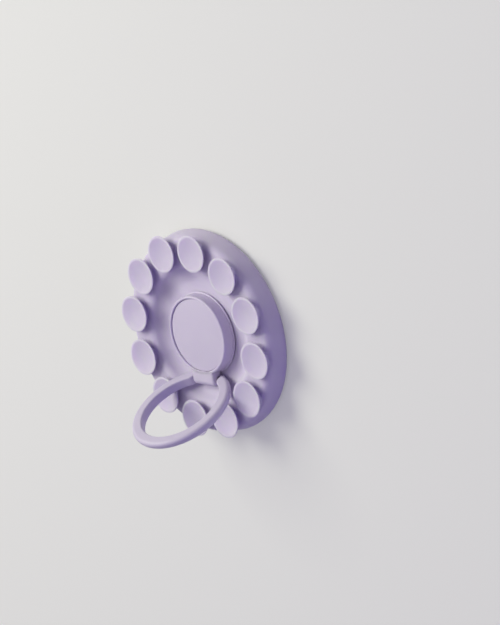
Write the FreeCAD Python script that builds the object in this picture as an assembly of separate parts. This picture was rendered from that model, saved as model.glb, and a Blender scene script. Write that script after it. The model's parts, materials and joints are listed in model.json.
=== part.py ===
import FreeCAD, Part
import math
import os

# Magnetic suction cup phone holder, lying on its flat magnetic back with the suction cups up.
# The origin is the centre of the contact face, +Z points out of the cups, the ring hinges at -Y.

# Driving dimensions in millimetres, from the middle of the holder outwards
rivet_radius = 3.0
rivet_shank_radius = 2.4
rivet_head_radius = 5.4
rivet_head_thickness = 0.6
rivet_foot_radius = 3.9
rivet_foot_thickness = 0.6
hub_radius = 11.75
hub_web = 0.9
hub_ledge_width = 1.3
hub_lip_width = 0.35
hub_lip_height = 0.4
hub_edge_round = 0.5
bezel_width = 0.9
bezel_proud = 0.45
cap_thickness = 1.1
cap_edge_round = 0.25
cap_below_rims = 1.95

# Finger ring and its hinge
knuckle_width = 9.0
knuckle_radius = 1.7
knuckle_reach = 0.3
knuckle_edge_round = 0.8
knuckle_root_round = 0.8
hinge_offset = 1.45
hinge_drop = 2.4
hinge_gap = 0.6
hinge_washer_radius = 0.85
pin_radius = 0.5
pin_reach = 1.0
ring_width = 3.2
ring_thickness = 2.95
ring_rise = 0.38
ring_edge_round = 0.45
ring_crown_round = 1.05
ring_top_round = 1.9
ring_end_round = 0.35
ring_lean_deg = 26.0

# Suction cups and the silicone body
cup_count = 12
cup_phase_deg = 20.2
cup_rim_radius = 5.45
cup_neck_radius = 3.4
cup_height = 2.2
cup_root = 1.4
cup_bowl_depth = 1.05
cup_lip_width = 0.3
cup_lip_edge = 0.35
ring_to_cups = 4.25
body_margin = 4.35
bottom_round = 0.5
flank_lean = 0.6
shoulder_radius = 2.4
rim_skin = 2.55
floor_skin = 1.15
dish_slope_deg = 55.0
dish_top_round = 2.7
dish_top_margin = 0.3
retaining_lip = 0.4

# Magnet array, carrier and back
magnet_count = 16
magnet_width = 4.0
magnet_thickness = 2.0
magnet_spacing = 0.3
shunt_thickness = 0.5
carrier_wall = 0.9
carrier_roof = 0.9
carrier_plate = 1.45
carrier_seat_radius = 8.6
cover_thickness = 1.0
cover_seat_width = 0.4
cover_seat_depth = 0.4
pad_thickness = 0.6
pad_proud = 0.15
pad_margin = 1.1
glide_washer_thickness = 0.45
glide_washer_margin = 0.4
spring_thickness = 0.25
spring_height = 0.5

# Clearances
seat_gap = 0.05
slot_gap = 0.1
running_gap = 0.05
pin_press_gap = 0.01
cap_gap = 0.15
floor_gap = 0.3
ring_gap = 0.25
relief_gap = 0.25
hole_gap = 0.2

# Radii that follow, from the middle outwards
hub_lip_radius = hub_radius + hub_lip_width
hub_recess_radius = hub_radius - bezel_width
hub_cavity_radius = hub_recess_radius - hub_ledge_width
hinge_y = -(hub_radius + hinge_offset)
ring_inner = hub_lip_radius + ring_gap
ring_outer = ring_inner + ring_width
ring_end_x = knuckle_width / 2 + hinge_gap
cup_circle = ring_outer + ring_to_cups + cup_rim_radius
body_radius = cup_circle + body_margin
land_inner = cup_circle - cup_neck_radius - dish_top_margin
channel_inner = cup_circle - magnet_width / 2 - slot_gap
channel_outer = cup_circle + magnet_width / 2 + slot_gap
carrier_radius = channel_outer + carrier_wall
carrier_step = channel_inner - carrier_wall
cover_radius = carrier_radius - carrier_wall + cover_seat_width
pad_radius = cover_radius - pad_margin
pocket_radius = carrier_radius + seat_gap
lip_radius = carrier_radius - retaining_lip
floor_hole_radius = carrier_seat_radius + hole_gap

# Heights that follow, from the contact face up
cover_bottom = pad_proud
cover_top = cover_bottom + cover_thickness
carrier_bottom = cover_top - cover_seat_depth
magnet_bottom = cover_top + seat_gap
shunt_bottom = magnet_bottom + magnet_thickness + seat_gap
roof_bottom = shunt_bottom + shunt_thickness + seat_gap
roof_top = roof_bottom + carrier_roof
land_z = roof_top + seat_gap + rim_skin
rim_z = land_z + cup_height
plate_bottom = cover_top + seat_gap
plate_top = plate_bottom + carrier_plate
floor_z = plate_top + seat_gap + floor_skin
hub_bottom = floor_z + floor_gap
glide_top = hub_bottom - running_gap
carrier_seat_z = glide_top - glide_washer_thickness
web_top = hub_bottom + hub_web
head_bottom = web_top + spring_height + running_gap
hub_top = rim_z - cap_below_rims + bezel_proud
cap_bottom = hub_top - bezel_proud - cap_thickness
knuckle_z = hub_top - knuckle_radius
hinge_z = hub_top - hinge_drop

ORIGIN = FreeCAD.Vector(0, 0, 0)
X_AXIS = FreeCAD.Vector(1, 0, 0)
Z_AXIS = FreeCAD.Vector(0, 0, 1)


def at(radius, height):
    # A point of a section, in the XZ plane
    return FreeCAD.Vector(radius, 0, height)


def arc(centre, radius, start_deg, end_deg):
    # An arc of a section, its angles measured from +X towards +Z
    def point(deg):
        turn = math.radians(deg)
        return centre + at(radius * math.cos(turn), radius * math.sin(turn))

    return Part.Arc(point(start_deg), point((start_deg + end_deg) / 2), point(end_deg)).toShape()


def section(*items):
    # A closed face through points and ready edges, with straight lines between them
    edges = []
    first = None
    last = None
    for item in items:
        is_edge = isinstance(item, Part.Edge)
        start = item.valueAt(item.FirstParameter) if is_edge else item
        if first is None:
            first = start
        elif start.distanceToPoint(last) > 1e-7:
            edges.append(Part.makeLine(last, start))
        if is_edge:
            edges.append(item)
            last = item.valueAt(item.LastParameter)
        else:
            last = item
    if last.distanceToPoint(first) > 1e-7:
        edges.append(Part.makeLine(last, first))
    return Part.Face(Part.Wire(edges))


def turned(face, sweep_deg=360):
    return face.revolve(ORIGIN, Z_AXIS, sweep_deg)


def ring_of(inner, outer, bottom, top):
    # A plain flat ring
    return turned(section(at(inner, bottom), at(outer, bottom), at(outer, top), at(inner, top)))


def disc_of(radius, bottom, top):
    return Part.makeCylinder(radius, top - bottom, at(0, bottom))


def tangent_angle_deg(point, centre, radius):
    # Where a line from the point touches the circle on its outer side
    dx = point.x - centre.x
    dz = point.z - centre.z
    return math.degrees(math.atan2(dz, dx) + math.acos(radius / math.hypot(dx, dz)))


def cup_solid():
    # One suction cup about the Z axis: neck, flared lip and shallow bowl
    lip_bottom = at(cup_rim_radius, rim_z - cup_lip_edge)
    neck_top = at(cup_neck_radius, land_z)
    flare = Part.BezierCurve()
    flare.setPoles([neck_top, at(cup_neck_radius, lip_bottom.z), lip_bottom])
    mouth = cup_rim_radius - cup_lip_width
    bowl_radius = (mouth ** 2 + cup_bowl_depth ** 2) / (2 * cup_bowl_depth)
    bowl_half_deg = math.degrees(math.asin(mouth / bowl_radius))
    bowl_centre = at(0, rim_z - cup_bowl_depth + bowl_radius)
    return turned(section(
        at(0, land_z - cup_root),
        at(cup_neck_radius, land_z - cup_root),
        flare.toShape(),
        at(cup_rim_radius, rim_z),
        arc(bowl_centre, bowl_radius, -90 + bowl_half_deg, -90),
    ))


def suction_body():
    # The silicone moulding: dished ring over the carrier, carrying all its cups
    widest = at(body_radius, cover_bottom + bottom_round)
    bottom_centre = at(body_radius - bottom_round, widest.z)
    shoulder_centre = at(body_radius - flank_lean - shoulder_radius, land_z - shoulder_radius)
    shoulder_start = tangent_angle_deg(widest, shoulder_centre, shoulder_radius)
    slope = math.radians(dish_slope_deg)
    both_rounds = (land_z - floor_z) / (1 - math.cos(slope))
    foot_round = both_rounds - dish_top_round
    foot_radius = land_inner - both_rounds * math.sin(slope)
    dish = turned(section(
        at(lip_radius, cover_bottom),
        arc(bottom_centre, bottom_round, -90, 0),
        arc(shoulder_centre, shoulder_radius, shoulder_start, 90),
        arc(at(land_inner, land_z - dish_top_round), dish_top_round, 90, 90 + dish_slope_deg),
        arc(at(foot_radius, floor_z + foot_round), foot_round, dish_slope_deg - 90, -90),
        at(floor_hole_radius, floor_z),
        at(floor_hole_radius, plate_top + seat_gap),
        at(carrier_step - seat_gap, plate_top + seat_gap),
        at(carrier_step - seat_gap, roof_top + seat_gap),
        at(pocket_radius, roof_top + seat_gap),
        at(pocket_radius, carrier_bottom - seat_gap),
        at(lip_radius, carrier_bottom - seat_gap),
    ))
    cups = []
    for index in range(cup_count):
        cup = cup_solid()
        cup.translate(at(cup_circle, 0))
        cup.rotate(ORIGIN, Z_AXIS, cup_phase_deg + index * 360 / cup_count)
        cups.append(cup)
    return dish.fuse(cups)


def carrier_frame():
    # Stiff frame inside the silicone: magnet channel round the edge, swivel seat in the middle
    foot_pocket = plate_bottom + rivet_foot_thickness + slot_gap
    return turned(section(
        at(rivet_shank_radius + seat_gap, foot_pocket),
        at(rivet_foot_radius + slot_gap, foot_pocket),
        at(rivet_foot_radius + slot_gap, plate_bottom),
        at(channel_inner, plate_bottom),
        at(channel_inner, roof_bottom),
        at(channel_outer, roof_bottom),
        at(channel_outer, plate_bottom),
        at(cover_radius + seat_gap, plate_bottom),
        at(cover_radius + seat_gap, carrier_bottom),
        at(carrier_radius, carrier_bottom),
        at(carrier_radius, roof_top),
        at(carrier_step, roof_top),
        at(carrier_step, plate_top),
        at(carrier_seat_radius, plate_top),
        at(carrier_seat_radius, carrier_seat_z),
        at(rivet_shank_radius + seat_gap, carrier_seat_z),
    ))


def back_cover():
    # Closes the magnet channel, with a shallow recess for the contact pad
    recess_top = pad_thickness + seat_gap
    recess_radius = pad_radius + seat_gap
    return turned(section(
        at(0, recess_top),
        at(recess_radius, recess_top),
        at(recess_radius, cover_bottom),
        at(cover_radius, cover_bottom),
        at(cover_radius, cover_top),
        at(0, cover_top),
    ))


def magnet(index):
    # One arc magnet of the array
    step = 360 / magnet_count
    inner = cup_circle - magnet_width / 2
    outer = cup_circle + magnet_width / 2
    top = magnet_bottom + magnet_thickness
    gap_deg = math.degrees(magnet_spacing / cup_circle)
    piece = turned(section(
        at(inner, magnet_bottom),
        at(outer, magnet_bottom),
        at(outer, top),
        at(inner, top),
    ), step - gap_deg)
    piece.rotate(ORIGIN, Z_AXIS, index * step + gap_deg / 2)
    return piece


def shunt_ring():
    return ring_of(
        cup_circle - magnet_width / 2,
        cup_circle + magnet_width / 2,
        shunt_bottom,
        shunt_bottom + shunt_thickness,
    )


def pivot_rivet():
    # Head over the hub's web, shoulder as the swivel's bearing, foot spread under the carrier
    foot_top = plate_bottom + rivet_foot_thickness + slot_gap
    return turned(section(
        at(0, foot_top - rivet_foot_thickness),
        at(rivet_foot_radius, foot_top - rivet_foot_thickness),
        at(rivet_foot_radius, foot_top),
        at(rivet_shank_radius, foot_top),
        at(rivet_shank_radius, carrier_seat_z),
        at(rivet_radius, carrier_seat_z),
        at(rivet_radius, head_bottom),
        at(rivet_head_radius, head_bottom),
        at(rivet_head_radius, head_bottom + rivet_head_thickness),
        at(0, head_bottom + rivet_head_thickness),
    ))


def glide_washer():
    return ring_of(
        rivet_radius + slot_gap,
        carrier_seat_radius - glide_washer_margin,
        carrier_seat_z,
        glide_top,
    )


def disc_spring():
    # Coned washer that presses the hub down and gives the swivel its drag
    inner = rivet_radius + slot_gap
    outer = rivet_head_radius
    cone = spring_height - spring_thickness
    bottom = web_top + running_gap
    return turned(section(
        at(outer, bottom),
        at(outer, bottom + spring_thickness),
        at(inner, bottom + cone + spring_thickness),
        at(inner, bottom + cone),
    ))


def knuckle_block():
    # Tongue on the hub that carries the hinge pin, with a round nose
    half = knuckle_width / 2
    root_y = -hub_cavity_radius
    nose_y = hinge_y - knuckle_reach

    def spot(y, z):
        return FreeCAD.Vector(-half, y, z)

    nose = Part.Arc(
        spot(nose_y, knuckle_z - knuckle_radius),
        spot(nose_y - knuckle_radius, knuckle_z),
        spot(nose_y, knuckle_z + knuckle_radius),
    ).toShape()
    outline = Part.Wire([
        Part.makeLine(spot(root_y, knuckle_z - knuckle_radius), spot(nose_y, knuckle_z - knuckle_radius)),
        nose,
        Part.makeLine(spot(nose_y, knuckle_z + knuckle_radius), spot(root_y, knuckle_z + knuckle_radius)),
        Part.makeLine(spot(root_y, knuckle_z + knuckle_radius), spot(root_y, knuckle_z - knuckle_radius)),
    ])
    block = Part.Face(outline).extrude(X_AXIS * knuckle_width)
    nose_edges = []
    for edge in block.Edges:
        if edge.Curve.TypeId == "Part::GeomCircle":
            nose_edges.append(edge)
    return block.makeFillet(knuckle_edge_round, nose_edges)


def knuckle_web(side):
    # Hollow round between one flank of the knuckle and the hub's wall, side is -1 or 1
    half = knuckle_width / 2
    bottom = knuckle_z - knuckle_radius + knuckle_edge_round
    top = knuckle_z + knuckle_radius - knuckle_edge_round
    reach = hub_radius + knuckle_root_round
    centre_x = half + knuckle_root_round
    centre_y = -math.sqrt(reach ** 2 - centre_x ** 2)
    wall_deg = math.degrees(math.atan2(-centre_y, -centre_x))
    middle = math.radians((wall_deg + 180) / 2)

    def spot(x, y):
        return FreeCAD.Vector(side * x, y, bottom)

    def on_round(turn):
        return spot(
            centre_x + knuckle_root_round * math.cos(turn),
            centre_y + knuckle_root_round * math.sin(turn),
        )

    on_flank = on_round(math.pi)
    on_wall = on_round(math.radians(wall_deg))
    inside = spot(half - knuckle_root_round, -hub_cavity_radius)
    hollow = Part.Arc(on_flank, on_round(middle), on_wall).toShape()
    outline = Part.Wire([hollow, Part.makeLine(on_wall, inside), Part.makeLine(inside, on_flank)])
    return Part.Face(outline).extrude(Z_AXIS * (top - bottom))


def swivel_hub():
    # Turning boss: web on the rivet, round wall with a foot lip, recess for the cap, hinge knuckle
    wall = turned(section(
        at(0, hub_bottom),
        at(hub_lip_radius, hub_bottom),
        at(hub_lip_radius, hub_bottom + hub_lip_height),
        at(hub_radius, hub_bottom + hub_lip_height),
        arc(at(hub_radius - hub_edge_round, hub_top - hub_edge_round), hub_edge_round, 0, 90),
        at(0, hub_top),
    ))
    pin_bore = Part.makeCylinder(
        pin_radius + pin_press_gap,
        knuckle_width,
        FreeCAD.Vector(-knuckle_width / 2, hinge_y, hinge_z),
        X_AXIS,
    )
    hollows = [
        disc_of(hub_recess_radius, cap_bottom, hub_top),
        disc_of(hub_cavity_radius, web_top, hub_top),
        disc_of(rivet_radius + running_gap, hub_bottom, hub_top),
        pin_bore,
    ]
    return wall.fuse([knuckle_block(), knuckle_web(-1), knuckle_web(1)]).cut(hollows).removeSplitter()


def cap_disc():
    # Inset disc that hides the rivet
    radius = hub_recess_radius - cap_gap
    top = cap_bottom + cap_thickness
    return turned(section(
        at(0, cap_bottom),
        at(radius, cap_bottom),
        arc(at(radius - cap_edge_round, top - cap_edge_round), cap_edge_round, 0, 90),
        at(0, top),
    ))


def hinge_pin():
    half = ring_end_x + pin_reach
    return Part.makeCylinder(pin_radius, 2 * half, FreeCAD.Vector(-half, hinge_y, hinge_z), X_AXIS)


def hinge_washer(side):
    # Friction washer between the knuckle and one end of the ring, side is -1 or 1
    thickness = hinge_gap - 2 * running_gap
    start = FreeCAD.Vector(side * (knuckle_width / 2 + running_gap), hinge_y, hinge_z)
    along = X_AXIS * side
    outside = Part.makeCylinder(hinge_washer_radius, thickness, start, along)
    return outside.cut(Part.makeCylinder(pin_radius + running_gap, thickness, start, along))


def cup_sweep():
    # Room that the cups take as the hub turns the open ring past them
    inner = cup_circle - cup_rim_radius - relief_gap
    outer = cup_circle + cup_rim_radius
    return ring_of(inner, outer, floor_z, rim_z + relief_gap)


def finger_ring():
    # Open ring with rounded ends bored for the pin, modelled folded round the hub and then swung open
    high = hinge_z + ring_rise + ring_thickness / 2
    low = high - ring_thickness
    edge = ring_edge_round
    crown = ring_crown_round
    top = ring_top_round
    band = turned(section(
        arc(at(ring_inner + edge, low + edge), edge, 180, 270),
        arc(at(ring_outer - crown, low + crown), crown, 270, 360),
        arc(at(ring_outer - top, high - top), top, 0, 90),
        arc(at(ring_inner + edge, high - edge), edge, 90, 180),
    ))
    gap_corner = FreeCAD.Vector(-ring_end_x, -ring_outer, low)
    ring = band.cut(Part.makeBox(2 * ring_end_x, ring_outer, ring_thickness, gap_corner))
    end_edges = []
    for face in ring.Faces:
        if abs(abs(face.normalAt(0, 0).x) - 1) < 1e-6:
            end_edges.extend(face.OuterWire.Edges)
    ring = ring.makeFillet(ring_end_round, end_edges)
    for side in (-1, 1):
        start = FreeCAD.Vector(side * ring_end_x, hinge_y, hinge_z)
        depth = pin_reach + slot_gap
        ring = ring.cut(Part.makeCylinder(pin_radius + running_gap, depth, start, X_AXIS * side))
    ring.rotate(FreeCAD.Vector(0, hinge_y, hinge_z), X_AXIS, 90 + ring_lean_deg)
    return ring.cut(cup_sweep())


def all_parts():
    parts = {
        "suction_body": suction_body(),
        "carrier_frame": carrier_frame(),
        "back_cover": back_cover(),
        "contact_pad": disc_of(pad_radius, 0, pad_thickness),
        "shunt_ring": shunt_ring(),
        "pivot_rivet": pivot_rivet(),
        "glide_washer": glide_washer(),
        "disc_spring": disc_spring(),
        "swivel_hub": swivel_hub(),
        "cap_disc": cap_disc(),
        "hinge_pin": hinge_pin(),
        "hinge_washer_left": hinge_washer(-1),
        "hinge_washer_right": hinge_washer(1),
        "finger_ring": finger_ring(),
    }
    for index in range(magnet_count):
        parts["magnet_%02d" % (index + 1)] = magnet(index)
    return parts


os.makedirs("parts", exist_ok=True)
for name, shape in all_parts().items():
    shape.exportStep(os.path.join("parts", name + ".step"))
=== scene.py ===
import json
import math

import bmesh
import bpy
import numpy as np
from mathutils import Matrix, Vector


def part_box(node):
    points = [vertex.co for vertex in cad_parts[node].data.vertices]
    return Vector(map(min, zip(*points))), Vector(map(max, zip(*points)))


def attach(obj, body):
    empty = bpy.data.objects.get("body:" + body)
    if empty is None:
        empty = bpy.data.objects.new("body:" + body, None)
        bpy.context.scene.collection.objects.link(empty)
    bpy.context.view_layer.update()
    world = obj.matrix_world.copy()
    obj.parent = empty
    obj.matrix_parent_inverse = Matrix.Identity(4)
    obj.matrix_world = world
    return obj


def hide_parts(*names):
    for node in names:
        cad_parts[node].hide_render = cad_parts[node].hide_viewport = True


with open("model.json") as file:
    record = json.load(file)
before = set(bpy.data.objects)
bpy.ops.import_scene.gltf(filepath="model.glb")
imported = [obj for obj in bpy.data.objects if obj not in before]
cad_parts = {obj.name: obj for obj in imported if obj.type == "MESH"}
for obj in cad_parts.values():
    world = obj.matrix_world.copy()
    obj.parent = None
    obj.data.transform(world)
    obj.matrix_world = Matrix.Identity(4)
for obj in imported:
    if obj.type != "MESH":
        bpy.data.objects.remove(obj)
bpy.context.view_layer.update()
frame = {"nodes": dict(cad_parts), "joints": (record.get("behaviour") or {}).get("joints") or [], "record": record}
mm = 0.001
weldMm = 0.002  # points closer than this are one point
jointOf = {joint["name"]: joint for joint in frame["joints"]}
print("frame loaded,", len(frame["nodes"]), "nodes")


def nodeBox(node):
    # lowest and highest corner of a node, in millimetres
    low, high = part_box(node)
    return low / mm, high / mm


def linearColour(hexText):
    # sRGB hex to the linear colour that shader sockets take
    parts = [int(hexText[i:i + 2], 16) / 255 for i in (1, 3, 5)]
    linear = [p / 12.92 if p <= 0.04045 else ((p + 0.055) / 1.055) ** 2.4 for p in parts]
    return (*linear, 1.0)


def perMetre(sizeInMm):
    # texture scale for a feature of that size, on Object coordinates
    return 1 / (sizeInMm * mm)


def addNode(tree, kind, inputs=None, **settings):
    # inputs maps a socket to a value, or to the socket that feeds it
    node = tree.nodes.new(kind)
    for name, value in settings.items():
        setattr(node, name, value)
    for socket, value in (inputs or {}).items():
        if isinstance(value, bpy.types.NodeSocket):
            tree.links.new(value, node.inputs[socket])
        else:
            node.inputs[socket].default_value = value
    return node


# Materials

def newMaterial(name):
    material = bpy.data.materials.new(name)
    material.use_nodes = True
    tree = material.node_tree
    tree.nodes.clear()
    shader = addNode(tree, "ShaderNodeBsdfPrincipled")
    addNode(tree, "ShaderNodeOutputMaterial", {"Surface": shader.outputs["BSDF"]})
    place = addNode(tree, "ShaderNodeTexCoord").outputs["Object"]
    return material, tree, shader, place


def mottledColour(tree, place, shader, darker, lighter, sizeInMm):
    # slow drift of tone, as pigment never mixes quite evenly
    drift = addNode(tree, "ShaderNodeTexNoise", {
        "Vector": place, "Scale": perMetre(sizeInMm), "Detail": 3.0, "Roughness": 0.55})
    tone = addNode(tree, "ShaderNodeMix", {
        "Factor": drift.outputs["Fac"], 6: linearColour(darker), 7: linearColour(lighter)}, data_type="RGBA")
    tree.links.new(tone.outputs[2], shader.inputs["Base Color"])
    return drift.outputs["Fac"]


def variedRoughness(tree, shader, pattern, low, high):
    spread = addNode(tree, "ShaderNodeMapRange", {"Value": pattern, "To Min": low, "To Max": high})
    tree.links.new(spread.outputs["Result"], shader.inputs["Roughness"])


def grainBump(tree, place, shader, sizeInMm, depthInMm, strength):
    grain = addNode(tree, "ShaderNodeTexNoise", {
        "Vector": place, "Scale": perMetre(sizeInMm), "Detail": 2.0, "Roughness": 0.6})
    bump = addNode(tree, "ShaderNodeBump", {
        "Height": grain.outputs["Fac"], "Strength": strength, "Distance": depthInMm * mm})
    tree.links.new(bump.outputs["Normal"], shader.inputs["Normal"])


def glowThrough(shader, weight, depthInMm):
    # light that enters the pigment comes out again nearby, a little more of it at the violet end
    shader.inputs["Subsurface Weight"].default_value = weight
    shader.inputs["Subsurface Radius"].default_value = (0.8, 0.6, 1.0)
    shader.inputs["Subsurface Scale"].default_value = depthInMm * mm


def paintedLipHighlight(tree, place, shader, colour, rimZ, depthInMm):
    # painted highlight: the tops of thin lips are painted paler, down to that depth under the rims, in place of
    # the light that comes through them
    height = addNode(tree, "ShaderNodeSeparateXYZ", {"Vector": place}).outputs["Z"]
    near = addNode(tree, "ShaderNodeMapRange", {
        "Value": height, "From Min": (rimZ - depthInMm) * mm, "From Max": rimZ * mm})
    unpaintedTone = shader.inputs["Base Color"].links[0].from_socket
    tone = addNode(tree, "ShaderNodeMix", {
        "Factor": near.outputs["Result"], 6: unpaintedTone, 7: linearColour(colour)}, data_type="RGBA")
    tree.links.new(tone.outputs[2], shader.inputs["Base Color"])


def mouldedSilicone():
    # Silicone rubber, compression moulded in a spark-eroded tool: a dry, velvety surface with a wide soft
    # highlight, and light that seeps through the lips and round the edges into violet shadows; the lips' tops also
    # carry a painted highlight.
    material, tree, shader, place = newMaterial("silicone_rubber_moulded")
    drift = mottledColour(tree, place, shader, "#c6bdd6", "#cdc5dc", sizeInMm=7.0)
    # painted highlight: the lips' tops are drawn paler than the rest of the rubber
    paintedLipHighlight(tree, place, shader, "#d0cbdd", rimZ=nodeBox("suction_body")[1].z, depthInMm=0.08)
    # the tool's texture is finer, drawn coarser to show
    grainBump(tree, place, shader, sizeInMm=0.55, depthInMm=0.012, strength=0.35)
    variedRoughness(tree, shader, drift, low=0.58, high=0.68)
    shader.inputs["IOR"].default_value = 1.41
    glowThrough(shader, weight=0.5, depthInMm=1.5)
    return material


def calenderedSilicone():
    # Silicone sheet, calendered smooth: the same rubber with a tighter, slightly tacky sheen.
    material, tree, shader, place = newMaterial("silicone_sheet_calendered")
    drift = mottledColour(tree, place, shader, "#bfb6cf", "#c6bed5", sizeInMm=9.0)
    grainBump(tree, place, shader, sizeInMm=1.4, depthInMm=0.01, strength=0.25)
    variedRoughness(tree, shader, drift, low=0.42, high=0.52)
    shader.inputs["IOR"].default_value = 1.41
    return material


def satinAbs():
    # ABS, injection moulded against an etched tool: even satin plastic, a little brighter in its highlights
    # than the rubber beside it.
    material, tree, shader, place = newMaterial("abs_moulded_satin")
    drift = mottledColour(tree, place, shader, "#c8bfd7", "#cec6dc", sizeInMm=11.0)
    # etch grain, drawn coarser to show
    grainBump(tree, place, shader, sizeInMm=0.5, depthInMm=0.006, strength=0.3)
    variedRoughness(tree, shader, drift, low=0.46, high=0.54)
    shader.inputs["IOR"].default_value = 1.53
    glowThrough(shader, weight=0.3, depthInMm=0.8)
    return material


def mattAbs():
    # ABS, moulded in a plain blasted tool: the dull plastic of a part that is not meant to be seen.
    material, tree, shader, place = newMaterial("abs_moulded_matt")
    drift = mottledColour(tree, place, shader, "#b7aec8", "#c0b7cf", sizeInMm=10.0)
    grainBump(tree, place, shader, sizeInMm=0.6, depthInMm=0.01, strength=0.35)
    variedRoughness(tree, shader, drift, low=0.58, high=0.68)
    shader.inputs["IOR"].default_value = 1.53
    return material


def mattLacquer():
    # Die-cast zinc under matt lacquer: opaque and dry like the plastic, with the slight waviness of a
    # sprayed coat.
    material, tree, shader, place = newMaterial("zinc_lacquered_matt")
    drift = mottledColour(tree, place, shader, "#c6bdd6", "#ccc4db", sizeInMm=9.0)
    # orange peel
    grainBump(tree, place, shader, sizeInMm=0.9, depthInMm=0.008, strength=0.3)
    variedRoughness(tree, shader, drift, low=0.44, high=0.54)
    shader.inputs["IOR"].default_value = 1.5
    return material


def turnedAcetal():
    # Acetal, coloured black and turned: a dark, waxy plastic that keeps the hinge's gaps in shadow.
    material, tree, shader, place = newMaterial("acetal_black_turned")
    drift = mottledColour(tree, place, shader, "#2c2833", "#37323f", sizeInMm=4.0)
    variedRoughness(tree, shader, drift, low=0.32, high=0.42)
    shader.inputs["IOR"].default_value = 1.48
    return material


def brightSteel():
    # Steel, turned and bright zinc plated: fine rings left by the tool break up the reflection.
    material, tree, shader, place = newMaterial("steel_turned_plated")
    drift = mottledColour(tree, place, shader, "#a9a9ab", "#b8b8b9", sizeInMm=5.0)
    rings = addNode(tree, "ShaderNodeTexWave", {"Vector": place, "Scale": perMetre(1.2), "Distortion": 0.6},
                    wave_type="RINGS", rings_direction="Z")  # tool marks, drawn coarser to show
    bump = addNode(tree, "ShaderNodeBump", {
        "Height": rings.outputs["Fac"], "Strength": 0.2, "Distance": 0.004 * mm})
    tree.links.new(bump.outputs["Normal"], shader.inputs["Normal"])
    variedRoughness(tree, shader, drift, low=0.24, high=0.36)
    shader.inputs["Metallic"].default_value = 1.0
    return material


def nickelPlate():
    # Sintered magnet under barrel-plated nickel: warm grey metal, slightly pebbled by the grain beneath.
    material, tree, shader, place = newMaterial("nickel_plated_magnet")
    drift = mottledColour(tree, place, shader, "#b6b1a8", "#c4bfb6", sizeInMm=3.0)
    grainBump(tree, place, shader, sizeInMm=0.4, depthInMm=0.006, strength=0.3)
    variedRoughness(tree, shader, drift, low=0.2, high=0.32)
    shader.inputs["Metallic"].default_value = 1.0
    return material


finishOf = {
    "silicone": mouldedSilicone(),
    "pad_silicone": calenderedSilicone(),
    "shell_plastic": satinAbs(),
    "frame_plastic": mattAbs(),
    "ring_lacquer": mattLacquer(),
    "glide_plastic": turnedAcetal(),
    "steel": brightSteel(),
    "magnet": nickelPlate(),
}
for subpart in frame["record"]["subparts"]:
    cadNode = frame["nodes"][subpart["node"]]
    cadNode.data.materials.clear()
    cadNode.data.materials.append(finishOf[subpart["material_slot"]])
print("materials ready,", len(finishOf), "finishes")


# Mesh helpers, all lengths in millimetres

def arcPoints(centre, radius, startDeg, endDeg, steps):
    turn = np.radians(np.linspace(startDeg, endDeg, steps + 1))
    return [(centre[0] + radius * c, centre[1] + radius * s) for c, s in zip(np.cos(turn), np.sin(turn))]


def gridFaces(rows, columns, start=0, closed=False):
    # quads between rows of points, each row with the same number of columns
    faces = []
    for row in range(rows - 1):
        for column in range(columns if closed else columns - 1):
            a = start + row * columns + column
            b = start + row * columns + (column + 1) % columns
            faces.append((a, b, b + columns, a + columns))
    return faces


def newObject(name, points, faces):
    mesh = bpy.data.meshes.new(name)
    mesh.from_pydata([Vector(point) * mm for point in points], [], faces)
    piece = bpy.data.objects.new(name, mesh)
    bpy.context.scene.collection.objects.link(piece)
    return piece


def cleanMesh(mesh, sharpDeg=38):
    # weld seams and poles, point the faces outwards, shade smooth except at true edges
    work = bmesh.new()
    work.from_mesh(mesh)
    bmesh.ops.remove_doubles(work, verts=work.verts, dist=weldMm * mm)
    stray = [edge for edge in work.edges if not edge.link_faces]
    bmesh.ops.delete(work, geom=stray, context="EDGES")
    bmesh.ops.recalc_face_normals(work, faces=work.faces)
    for face in work.faces:
        face.smooth = True
    loose = sum(1 for edge in work.edges if len(edge.link_faces) != 2)
    work.to_mesh(mesh)
    work.free()
    mesh.set_sharp_from_angle(angle=math.radians(sharpDeg))
    print(mesh.name, len(mesh.polygons), "faces,", loose, "open edges")


def standIn(piece, node, body, slot):
    # the finished piece takes a node's place, body and finish
    piece.data.materials.clear()
    piece.data.materials.append(finishOf[slot])
    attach(piece, body)
    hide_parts(node)


def plainMesh(piece, name):
    # the evaluated result as a plain mesh, with the modifiers gone
    result = bpy.data.meshes.new_from_object(piece.evaluated_get(bpy.context.evaluated_depsgraph_get()))
    sector = piece.data
    piece.modifiers.clear()
    piece.data = result
    bpy.data.meshes.remove(sector)
    result.name = name


def roundedLoop(corners, steps=5):
    # closed outline through corners (across, up, rounding), each corner turned into an arc
    loop = []
    for index, (across, up, rounding) in enumerate(corners):
        here = Vector((across, up))
        if not rounding:
            loop.append(tuple(here))
            continue
        before = (Vector(corners[index - 1][:2]) - here).normalized()
        after = (Vector(corners[(index + 1) % len(corners)][:2]) - here).normalized()
        half = before.angle(after) / 2
        centre = here + (before + after).normalized() * rounding / math.sin(half)
        start = here + before * rounding / math.tan(half) - centre
        sweep = math.pi - 2 * half
        if before.cross(after) > 0:
            sweep = -sweep
        first = math.atan2(start.y, start.x)
        loop += arcPoints(centre, rounding, math.degrees(first), math.degrees(first + sweep), steps)
    return loop


def turnedShell(loop, around=144):
    # points and faces of an outline turned about the vertical axis
    turn = math.tau * np.arange(around) / around
    points = []
    for radius, height in loop + loop[:1]:
        points += [(radius * c, radius * s, height) for c, s in zip(np.cos(turn), np.sin(turn))]
    return points, gridFaces(len(loop) + 1, around, closed=True)


# Suction body: one sector with one cup, repeated round the axis

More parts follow.
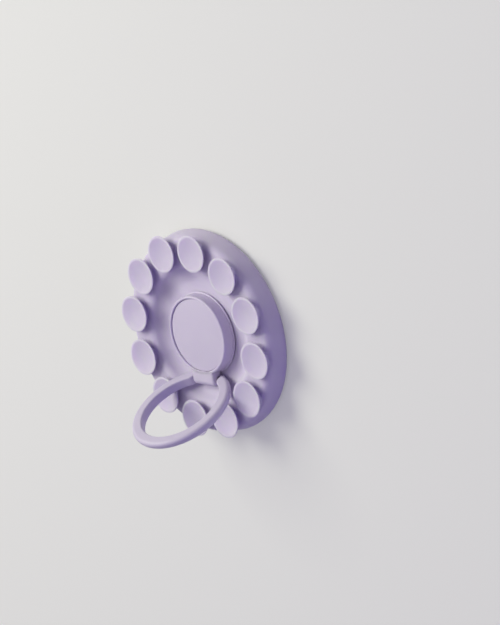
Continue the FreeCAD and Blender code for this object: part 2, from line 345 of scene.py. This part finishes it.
suctionBody = {
    "cups": 12,
    "firstCupDeg": 20.2,
    "cupCircle": 25.25,
    "cupHeight": 2.2,
    "rimRadius": 5.44,
    "neckRadius": 3.4,
    "lipThickness": 0.35,
    "lipRound": 0.15,
    "lipFlat": 0.42,
    "bowlDepth": 0.85,
    "rootSpread": 0.9,        # how far the fillet at the neck's root spreads over the skin
    "rootStart": 0.25,        # where on the flare the fillet lets go
    "bodyRadius": 30.0,
    "bottomRound": 2.0,
    "footSettle": 0.12,       # the soft foot sinks onto what the holder stands on
    "flankLean": 0.6,
    "shoulderRadius": 2.4,
    "landInside": 3.7,        # flat land on the dish side of the cups' circle
    "dishTopRound": 2.7,
    "dishSlopeDeg": 55.0,
    "floorGap": 0.3,          # dish floor to the boss
    "floorSkin": 1.15,
    "floorHole": 8.8,
    "carrierStep": 22.25,     # where the carrier steps up to the magnets
    "lipReach": 0.4,          # how far the lip holds under the carrier
    "seatGap": 0.05,
    "patchHalf": 5.6,         # half length of the patch round a cup, along the skin
    "patchSteps": 16,         # segments on each side of the patch
    "patchRows": 6,           # rows of faces from the patch's border to the fillet
    "patchEase": 1.3,         # crowds those rows towards the fillet
    "filletRows": 6,
    "flareRows": 8,
    "lipUnderDeg": -60,       # where the round under the lip takes over from the flare
    "lipRows": (3, 4, 3),     # under the lip, over its outer edge, over its inner edge
    "bowlRows": 12,
    "arcRows": 60,            # along each arc of the skin's section
    "rowSpacing": 0.45,
}


def skinProfile(shape):
    # section of the visible skin as (radius, height), from the hole in the dish floor out, over and under
    rimZ = nodeBox("suction_body")[1].z
    bottom = nodeBox("suction_body")[0].z - shape["footSettle"]
    landZ = rimZ - shape["cupHeight"]
    floorZ = nodeBox("swivel_hub")[0].z - shape["floorGap"]
    slope = math.radians(shape["dishSlopeDeg"])
    landInner = shape["cupCircle"] - shape["landInside"]
    bothRounds = (landZ - floorZ) / (1 - math.cos(slope))
    footRound = bothRounds - shape["dishTopRound"]
    footRadius = landInner - bothRounds * math.sin(slope)
    widest = (shape["bodyRadius"], bottom + shape["bottomRound"])
    shoulderRadius = shape["shoulderRadius"]
    shoulder = (shape["bodyRadius"] - shape["flankLean"] - shoulderRadius, landZ - shoulderRadius)
    away = (widest[0] - shoulder[0], widest[1] - shoulder[1])
    leaveDeg = math.degrees(math.atan2(away[1], away[0]) + math.acos(shoulderRadius / math.hypot(*away)))
    lipRadius = nodeBox("carrier_frame")[1].x - shape["lipReach"]
    arcRows = shape["arcRows"]
    foot = (footRadius, floorZ + footRound)
    dishTop = (landInner, landZ - shape["dishTopRound"])
    bottomEdge = (widest[0] - shape["bottomRound"], widest[1])
    profile = [(shape["floorHole"], floorZ)]
    profile += arcPoints(foot, footRound, -90, shape["dishSlopeDeg"] - 90, arcRows)
    profile += arcPoints(dishTop, shape["dishTopRound"], 90 + shape["dishSlopeDeg"], 90, arcRows)
    profile += arcPoints(shoulder, shoulderRadius, 90, leaveDeg, arcRows)
    profile += arcPoints(bottomEdge, shape["bottomRound"], 0, -90, arcRows)
    profile.append((lipRadius, bottom))
    return np.array(profile), landZ, rimZ


def pocketProfile(shape, skin):
    # hidden inner walls round the carrier, from the lip back to the hole in the dish floor
    low, high = nodeBox("carrier_frame")
    gap = shape["seatGap"]
    pocketTop = high.z + gap
    plateTop = skin[0][1] - shape["floorSkin"]
    step = shape["carrierStep"] - gap
    return [
        tuple(skin[-1]),
        (skin[-1][0], low.z - gap),
        (high.x + gap, low.z - gap),
        (high.x + gap, pocketTop),
        (step, pocketTop),
        (step, plateTop),
        (shape["floorHole"], plateTop),
        tuple(skin[0]),
    ]


def cupProfile(shape, landZ, rimZ):
    # section of a cup about its own axis as (radius, height), from the flare to the middle of the bowl
    lip = shape["lipRound"]
    flareEnd = (shape["rimRadius"] - lip, rimZ - shape["lipThickness"])
    underRows, outerRows, innerRows = shape["lipRows"]
    t = np.linspace(shape["rootStart"], 1, shape["flareRows"] + 1)
    radius = shape["neckRadius"] * (1 - t ** 2) + flareEnd[0] * t ** 2
    height = landZ * (1 - t) ** 2 + flareEnd[1] * (2 * t - t ** 2)
    profile = list(zip(radius, height))
    profile += arcPoints((flareEnd[0], flareEnd[1] + lip), lip, shape["lipUnderDeg"], 0, underRows)
    profile += arcPoints((flareEnd[0], rimZ - lip), lip, 0, 90, outerRows)
    mouth = flareEnd[0] - shape["lipFlat"]
    depth = shape["bowlDepth"]
    edgeDeg = math.degrees(2 * math.atan(depth / mouth))
    profile += arcPoints((mouth, rimZ - lip), lip, 90, 90 + edgeDeg, innerRows)
    start = profile[-1]
    bowlRadius = (start[0] ** 2 + (start[1] - rimZ + depth) ** 2) / (2 * (start[1] - rimZ + depth))
    bowlDeg = math.degrees(math.asin(start[0] / bowlRadius))
    bowlCentre = (0, rimZ - depth + bowlRadius)
    profile += arcPoints(bowlCentre, bowlRadius, bowlDeg - 90, -90, shape["bowlRows"])[1:]
    return np.array(profile)


def cupSector(shape):
    # points and faces of the sector about +X, the cup's axis on the cups' circle
    skin, landZ, rimZ = skinProfile(shape)
    run = np.concatenate([[0], np.cumsum(np.hypot(*np.diff(skin, axis=0).T))])
    landPoint = np.flatnonzero(skin[:, 1] > landZ - 1e-6)[0]
    run -= run[landPoint] + shape["landInside"]  # zero on the cups' circle

    def onSkin(along, turn):
        radius = np.interp(along, run, skin[:, 0])
        height = np.interp(along, run, skin[:, 1])
        return np.stack([radius * np.cos(turn), radius * np.sin(turn), height], -1)

    halfTurn = math.pi / shape["cups"]
    steps = shape["patchSteps"]
    side = np.linspace(-1, 1, steps + 1)
    points = []
    faces = []

    def addRows(rows, closed=False):
        start = len(points)
        for row in rows:
            points.extend(map(tuple, row))
        faces.extend(gridFaces(len(rows), len(rows[0]), start, closed))

    # the patch's border and the fillet's foot, both round the cup in the same order
    half = shape["patchHalf"]
    level = side[:-1]
    borderAlong = half * np.concatenate([np.ones(steps), -level, -np.ones(steps), level])
    borderTurn = halfTurn * np.concatenate([level, np.ones(steps), -level, -np.ones(steps)])
    around = np.radians(-45 + 360 * np.arange(4 * steps) / (4 * steps))
    footReach = shape["neckRadius"] + shape["rootSpread"]

    def overSkin(reach):
        x = shape["cupCircle"] + reach * np.cos(around)
        y = reach * np.sin(around)
        return np.hypot(x, y) - shape["cupCircle"], np.arctan2(y, x)

    footAlong, footTurn = overSkin(footReach)
    rows = []
    for t in np.linspace(1, 0, shape["patchRows"] + 1) ** shape["patchEase"]:
        rows.append(onSkin(footAlong + (borderAlong - footAlong) * t, footTurn + (borderTurn - footTurn) * t))

    # the fillet leaves the skin along it and meets the flare along it
    cup = cupProfile(shape, landZ, rimZ)
    leave = cup[0]
    lean = (cup[1][0] - cup[0][0]) / (cup[1][1] - cup[0][1])
    under = onSkin(*overSkin(shape["neckRadius"]))[:, 2]
    bendReach = leave[0] - lean * (leave[1] - under)
    foot = rows[-1]
    bend = np.stack([shape["cupCircle"] + bendReach * np.cos(around), bendReach * np.sin(around), under], -1)
    top = np.stack([shape["cupCircle"] + leave[0] * np.cos(around), leave[0] * np.sin(around),
                    np.full(len(around), leave[1])], -1)
    for t in np.linspace(0, 1, shape["filletRows"] + 1)[1:]:
        rows.append(foot * (1 - t) ** 2 + bend * 2 * t * (1 - t) + top * t ** 2)
    for radius, height in cup[1:]:
        rows.append(np.stack([shape["cupCircle"] + radius * np.cos(around), radius * np.sin(around),
                              np.full(len(around), height)], -1))
    addRows(rows, closed=True)

    # the rest of the skin, dish side and flank side, and the hidden pocket
    sideTurn = halfTurn * side
    for first, last in ((run[0], -half), (half, run[-1])):
        count = int(round((last - first) / shape["rowSpacing"])) + 1
        addRows([onSkin(np.full(steps + 1, along), sideTurn) for along in np.linspace(first, last, count)])
    pocketRows = []
    for radius, height in pocketProfile(shape, skin):
        pocketRows.append(np.stack([radius * np.cos(sideTurn), radius * np.sin(sideTurn),
                                    np.full(steps + 1, height)], -1))
    addRows(pocketRows)
    return points, faces


def repeatTree():
    # repeats the sector round the vertical axis and welds the copies
    tree = bpy.data.node_groups.new("repeatRoundAxis", "GeometryNodeTree")
    face = tree.interface
    face.new_socket("Geometry", in_out="INPUT", socket_type="NodeSocketGeometry")
    face.new_socket("Copies", in_out="INPUT", socket_type="NodeSocketInt")
    face.new_socket("First Angle", in_out="INPUT", socket_type="NodeSocketFloat")
    face.new_socket("Weld Distance", in_out="INPUT", socket_type="NodeSocketFloat")
    face.new_socket("Material", in_out="INPUT", socket_type="NodeSocketMaterial")
    face.new_socket("Geometry", in_out="OUTPUT", socket_type="NodeSocketGeometry")
    given = addNode(tree, "NodeGroupInput").outputs
    spots = addNode(tree, "GeometryNodePoints", {"Count": given["Copies"]})
    index = addNode(tree, "GeometryNodeInputIndex")
    step = addNode(tree, "ShaderNodeMath", {0: math.tau, 1: given["Copies"]}, operation="DIVIDE")
    angle = addNode(tree, "ShaderNodeMath", {
        0: index.outputs["Index"], 1: step.outputs["Value"], 2: given["First Angle"]},
        operation="MULTIPLY_ADD")
    turn = addNode(tree, "FunctionNodeAxisAngleToRotation", {
        "Axis": (0, 0, 1), "Angle": angle.outputs["Value"]})
    copies = addNode(tree, "GeometryNodeInstanceOnPoints", {
        "Points": spots.outputs["Points"], "Instance": given["Geometry"],
        "Rotation": turn.outputs["Rotation"]})
    real = addNode(tree, "GeometryNodeRealizeInstances", {"Geometry": copies.outputs["Instances"]})
    weld = addNode(tree, "GeometryNodeMergeByDistance", {
        "Geometry": real.outputs["Geometry"], "Distance": given["Weld Distance"]})
    coat = addNode(tree, "GeometryNodeSetMaterial", {
        "Geometry": weld.outputs["Geometry"], "Material": given["Material"]})
    addNode(tree, "NodeGroupOutput", {"Geometry": coat.outputs["Geometry"]})
    return tree


def makeSuctionBody(shape):
    piece = newObject("silicone_body", *cupSector(shape))
    modifier = piece.modifiers.new("cups", "NODES")
    modifier.node_group = repeatTree()
    values = {
        "Copies": shape["cups"],
        "First Angle": math.radians(shape["firstCupDeg"]),
        "Weld Distance": weldMm * mm,
        "Material": finishOf["silicone"],
    }
    for item in modifier.node_group.interface.items_tree:
        if item.name in values:
            modifier[item.identifier] = values[item.name]
    plainMesh(piece, "silicone_body")
    cleanMesh(piece.data)
    standIn(piece, "suction_body", "base", "silicone")


makeSuctionBody(suctionBody)
print("suction body made,", suctionBody["cups"], "cups")


# Boss: turned wall with a bezel, and the knuckle that grows out of it

boss = {
    "bore": 3.05,
    "wall": 11.75,
    "lipHeight": 0.4,
    "lipRound": 0.17,
    "bezel": 0.9,
    "bezelOuterRound": 0.55,
    "bezelInnerRound": 0.33,
    "ledge": 1.3,
    "web": 0.9,
    "knuckleHalf": 4.5,
    "noseRadius": 1.7,
    "noseReach": 0.3,         # nose centre beyond the hinge pin
    "noseEdge": 0.8,
    "rootRound": 0.8,
    "rootSink": 0.45,         # how deep the knuckle's root lies in the wall
    "cornerSteps": 7,
    "rootSteps": 8,
    "noseSteps": 12,
}
capDisc = {"edgeRound": 0.2, "spread": 0.07}  # spread towards the bezel, so that only a fine line shows
contactPad = {"edgeRound": 0.15, "spread": 0.0}


def wallLoop(shape):
    low, high = nodeBox("swivel_hub")
    ledgeZ = nodeBox("cap_disc")[0].z
    recess = shape["wall"] - shape["bezel"]
    cavity = recess - shape["ledge"]
    return roundedLoop([
        (shape["bore"], low.z, 0),
        (high.x, low.z, shape["lipRound"]),
        (high.x, low.z + shape["lipHeight"], shape["lipRound"]),
        (shape["wall"], low.z + shape["lipHeight"], shape["lipRound"]),
        (shape["wall"], high.z, shape["bezelOuterRound"]),
        (recess, high.z, shape["bezelInnerRound"]),
        (recess, ledgeZ, 0),
        (cavity, ledgeZ, 0),
        (cavity, low.z + shape["web"], 0),
        (shape["bore"], low.z + shape["web"], 0),
    ])


def knuckleShell(shape, hinge, topZ):
    # slices square to the hub's radius, from inside the wall out to the nose
    half = shape["knuckleHalf"]
    nose = shape["noseRadius"]
    edge = shape["noseEdge"]
    root = shape["rootRound"]
    noseY = hinge.y - shape["noseReach"]
    sunk = shape["wall"] - shape["rootSink"]
    rootX = half + root
    rootY = -math.sqrt((shape["wall"] + root) ** 2 - rootX ** 2)
    wallTurn = math.atan2(-rootY, -rootX)
    slices = []  # (y, half width, depth into the nose)
    for turn in np.linspace(wallTurn, math.pi, shape["rootSteps"] + 1):
        slices.append((rootY + root * math.sin(turn), rootX + root * math.cos(turn), 0.0))
    slices.insert(0, (0.0, slices[0][1], 0.0))
    for swing in np.radians(np.linspace(0, 90, shape["noseSteps"] + 1)):
        depth = nose * math.sin(swing)
        slices.append((noseY - depth, half, depth))
    rows = []
    for y, width, depth in slices:
        room = min((nose - depth) / edge, 1.0)
        first = math.asin(1 - room)
        swing = np.linspace(first, math.pi / 2, shape["cornerSteps"] + 1)
        x = width - edge + edge * np.cos(swing)
        z = np.sqrt(np.maximum((nose - edge * (1 - np.sin(swing))) ** 2 - depth ** 2, 0))
        x = np.concatenate([x, -x[::-1], -x, x[::-1]])
        z = np.concatenate([z, z[::-1], -z, -z[::-1]])
        rows.append(np.stack([x, np.minimum(y, -np.sqrt(sunk ** 2 - x ** 2)), topZ - nose + z], -1))
    rows.insert(0, np.tile([0.0, -sunk, topZ - nose], (len(rows[0]), 1)))
    points = np.concatenate(rows).tolist()
    return points, gridFaces(len(rows), len(rows[0]), closed=True)


def makeBoss(shape):
    hinge = Vector(jointOf["ring_flip"]["pos_m"]) / mm
    points, faces = turnedShell(wallLoop(shape))
    nosePoints, noseFaces = knuckleShell(shape, hinge, nodeBox("swivel_hub")[1].z)
    faces += [tuple(corner + len(points) for corner in face) for face in noseFaces]
    piece = newObject("swivel_boss", points + nosePoints, faces)
    cleanMesh(piece.data)
    standIn(piece, "swivel_hub", "hub", "shell_plastic")


def makeDisc(name, node, body, slot, shape):
    # a plain disc, its outer edges eased
    low, high = nodeBox(node)
    ease = shape["edgeRound"]
    edge = high.x + shape["spread"]
    loop = roundedLoop([(0, low.z, 0), (edge, low.z, ease), (edge, high.z, ease), (0, high.z, 0)])
    piece = newObject(name, *turnedShell(loop))
    cleanMesh(piece.data)
    standIn(piece, node, body, slot)


makeBoss(boss)
makeDisc("inset_cap", "cap_disc", "hub", "shell_plastic", capDisc)
makeDisc("soft_pad", "contact_pad", "base", "pad_silicone", contactPad)
print("boss, cap and pad made")


# Finger ring: swept folded round the boss, then swung to its open stop

fingerRing = {
    "inner": 12.35,
    "outer": 15.55,
    "thickness": 2.95,
    "rise": 0.38,             # middle of the ring above the pin, when folded
    "innerRound": 0.45,
    "lowRound": 1.05,
    "topRound": 1.9,
    "cornerSteps": 8,
    "flatSteps": 9,           # points along each flat, close enough for a clean edge at the relief
    "endX": 5.1,              # half of the gap that takes the knuckle
    "endRound": 0.4,
    "endPlanRound": 1.05,     # the ends are rounder on the finger's side
    "endSteps": 9,
    "boreRadius": 0.55,
    "boreDepth": 1.1,
    "sweepSteps": 420,
    "reliefGap": 0.27,        # kept between the open ring and the cups that pass it
}


def ringSection(shape, hinge, inset=0.0, planInset=0.0):
    # closed section as (radius, height), drawn in by the inset, and on the inside by the plan inset
    top = hinge.z + shape["rise"] + shape["thickness"] / 2 - inset
    low = hinge.z + shape["rise"] - shape["thickness"] / 2 + inset
    inner = shape["inner"] + planInset
    outer = shape["outer"] - inset
    innerRound = shape["innerRound"] - inset
    lowRound = shape["lowRound"] - inset
    topRound = shape["topRound"] - inset
    corners = [
        ((outer - topRound, top - topRound), topRound),
        ((inner + innerRound, top - innerRound), innerRound),
        ((inner + innerRound, low + innerRound), innerRound),
        ((outer - lowRound, low + lowRound), lowRound),
    ]
    loop = []
    for quarter, (centre, radius) in enumerate(corners):
        arc = arcPoints(centre, radius, 90 * quarter, 90 * quarter + 90, shape["cornerSteps"])
        if loop:
            loop += np.linspace(loop[-1], arc[0], shape["flatSteps"] + 2)[1:-1].tolist()
        loop += arc
    return np.array(loop)


def roundedBy(radius, away):
    # how far a rounded end draws in, so far from its face
    return radius - math.sqrt(radius ** 2 - max(radius - away, 0.0) ** 2)


def relieve(mesh, cups, gap):
    # press the ring out of the room that the cups sweep, over the shorter way
    reach = cups["cupCircle"] - cups["rimRadius"] - gap
    level = nodeBox("suction_body")[1].z + gap
    for vertex in mesh.vertices:
        spot = vertex.co / mm
        radius = math.hypot(spot.x, spot.y)
        if radius > reach and spot.z < level:
            if radius - reach < level - spot.z:
                vertex.co.xy *= reach / radius
            else:
                vertex.co.z = level * mm


def makeFingerRing(shape):
    hinge = Vector(jointOf["ring_flip"]["pos_m"]) / mm
    openDeg = jointOf["ring_flip"]["range_deg"][1]
    rows = []

    def addRow(section, turn):
        radius, height = section.T
        rows.append(np.stack([radius * np.sin(turn), -radius * np.cos(turn), height], -1))

    # flat slices through the rounded end, then the sweep, then the other end
    ends = []
    for swing in np.radians(np.linspace(0, 90, shape["endSteps"] + 1)):
        away = shape["endPlanRound"] * (1 - math.cos(swing))
        section = ringSection(shape, hinge, roundedBy(shape["endRound"], away),
                              roundedBy(shape["endPlanRound"], away))
        ends.append((section, np.arcsin((shape["endX"] + away) / section[:, 0])))
    for section, turn in ends:
        addRow(section, turn)
    full, first = ends[-1]
    for t in np.linspace(0, 1, shape["sweepSteps"] + 1)[1:-1]:
        addRow(full, first + (2 * math.pi - 2 * first) * t)
    for section, turn in reversed(ends):
        addRow(section, 2 * math.pi - turn)
    count = len(full)

    # bores for the hinge pin in both end faces
    def boreRow(edge, x):
        away = np.arctan2(edge[:, 2] - hinge.z, edge[:, 1] - hinge.y)
        return np.stack([np.full(count, x), hinge.y + shape["boreRadius"] * np.cos(away),
                         hinge.z + shape["boreRadius"] * np.sin(away)], -1)

    def boreEnd(x):
        return np.tile([x, hinge.y, hinge.z], (count, 1))

    deep = shape["endX"] + shape["boreDepth"]
    before = [boreEnd(deep), boreRow(rows[0], deep), boreRow(rows[0], shape["endX"])]
    after = [boreRow(rows[-1], -shape["endX"]), boreRow(rows[-1], -deep), boreEnd(-deep)]
    rows = before + rows + after
    points = np.concatenate(rows)
    piece = newObject("finger_loop", points.tolist(), gridFaces(len(rows), count, closed=True))
    pivot = Matrix.Translation(hinge * mm)
    piece.data.transform(pivot @ Matrix.Rotation(math.radians(openDeg), 4, "X") @ pivot.inverted())
    relieve(piece.data, suctionBody, shape["reliefGap"])
    cleanMesh(piece.data)
    standIn(piece, "finger_ring", "ring", "ring_lacquer")


makeFingerRing(fingerRing)
print("finger ring made")


# Floor, light and camera

stage = {
    "floorColour": "#dadada",
    "floorHalf": 3000.0,
    "floorDrop": 0.02,        # a hair under the pad, so the two faces never fight
    "backdropColour": "#eeeeee",
    "backdropShare": 0.28,    # how much of the floor the camera sees as plain backdrop
    "overhead": ("#efe8fb", 0.86),
    "overheadFocus": 4.0,     # how closely the overhead light gathers round the zenith
    "horizon": ("#d0c2fa", 0.18),
    "lamps": (                # name, where it stands, how wide it is, colour, light on the object
        ("key", (-411.0, 383.0, 639.0), 640.0, "#fdffe9", 2.95),
        ("fill", (780.0, -330.0, 110.0), 560.0, "#8a62ff", 0.5),
    ),
}
cameraView = {
    "place": (582.6, 205.96, 493.39),
    "aim": (15.1, 6.16, -0.21),
    "up": (-0.0991, 0.9567, -0.2734),
    "lens": 158.6,
    "sensor": 36.0,
}


def aimed(place, aim, up):
    # matrix of a thing at place that looks at aim
    back = (Vector(place) - Vector(aim)).normalized()
    right = Vector(up).cross(back).normalized()
    turn = Matrix((right, back.cross(right), back)).transposed()
    return Matrix.Translation(Vector(place) * mm) @ turn.to_4x4()


def makeFloor(shape):
    half = shape["floorHalf"]
    level = -shape["floorDrop"]
    corners = [(-half, -half, level), (half, -half, level), (half, half, level), (-half, half, level)]
    floor = newObject("studio_floor", corners, [(0, 1, 2, 3)])
    material, tree, shader = newMaterial("paper_sweep_matt")[:3]
    shader.inputs["Base Color"].default_value = linearColour(shape["floorColour"])
    shader.inputs["Roughness"].default_value = 0.9
    shader.inputs["Specular IOR Level"].default_value = 0.1
    # seen directly or mirrored, a share of the floor is plain tone, so that the cast shadow stays soft
    path = addNode(tree, "ShaderNodeLightPath").outputs
    seen = addNode(tree, "ShaderNodeMath", {
        0: path["Is Camera Ray"], 1: path["Is Glossy Ray"]}, operation="ADD")
    share = addNode(tree, "ShaderNodeMath", {
        0: seen.outputs["Value"], 1: path["Is Transmission Ray"]}, operation="ADD", use_clamp=True)
    share = addNode(tree, "ShaderNodeMath", {
        0: share.outputs["Value"], 1: shape["backdropShare"]}, operation="MULTIPLY")
    tone = addNode(tree, "ShaderNodeEmission", {"Color": linearColour(shape["backdropColour"])})
    both = addNode(tree, "ShaderNodeMixShader", {
        0: share.outputs["Value"], 1: shader.outputs["BSDF"], 2: tone.outputs["Emission"]})
    tree.links.new(both.outputs["Shader"], tree.get_output_node("ALL").inputs["Surface"])
    floor.data.materials.append(material)


def makeLight(shape):
    world = bpy.data.worlds.new("studio")
    bpy.context.scene.world = world
    world.use_nodes = True
    tree = world.node_tree
    tree.nodes.clear()
    # a wide soft box overhead that falls away to a dim violet horizon
    way = addNode(tree, "ShaderNodeTexCoord").outputs["Generated"]
    height = addNode(tree, "ShaderNodeSeparateXYZ", {"Vector": way}).outputs["Z"]
    above = addNode(tree, "ShaderNodeMath", {0: height, 1: 0.0}, operation="MAXIMUM")
    rise = addNode(tree, "ShaderNodeMath", {
        0: above.outputs["Value"], 1: shape["overheadFocus"]}, operation="POWER")
    low, high = [addNode(tree, "ShaderNodeBackground", {"Color": linearColour(colour), "Strength": strength})
                 for colour, strength in (shape["horizon"], shape["overhead"])]
    sky = addNode(tree, "ShaderNodeMixShader", {
        0: rise.outputs["Value"], 1: low.outputs["Background"], 2: high.outputs["Background"]})
    addNode(tree, "ShaderNodeOutputWorld", {"Surface": sky.outputs["Shader"]})
    for name, place, width, colour, strength in shape["lamps"]:
        lamp = bpy.data.lights.new(name, "AREA")
        lamp.shape = "DISK"
        lamp.size = width * mm
        lamp.color = linearColour(colour)[:3]
        lamp.energy = strength * math.pi * (Vector(place) * mm).length_squared
        holder = bpy.data.objects.new(name, lamp)
        holder.matrix_world = aimed(place, (0, 0, 0), (0, 1, 0))
        bpy.context.scene.collection.objects.link(holder)


def makeCamera(shape):
    camera = bpy.data.cameras.new("camera")
    camera.lens = shape["lens"]
    camera.sensor_width = shape["sensor"]
    eye = bpy.data.objects.new("camera", camera)
    eye.matrix_world = aimed(shape["place"], shape["aim"], shape["up"])
    bpy.context.scene.collection.objects.link(eye)
    bpy.context.scene.camera = eye


makeFloor(stage)
makeLight(stage)
makeCamera(cameraView)
bpy.context.scene.view_settings.view_transform = "Standard"
print("stage ready")
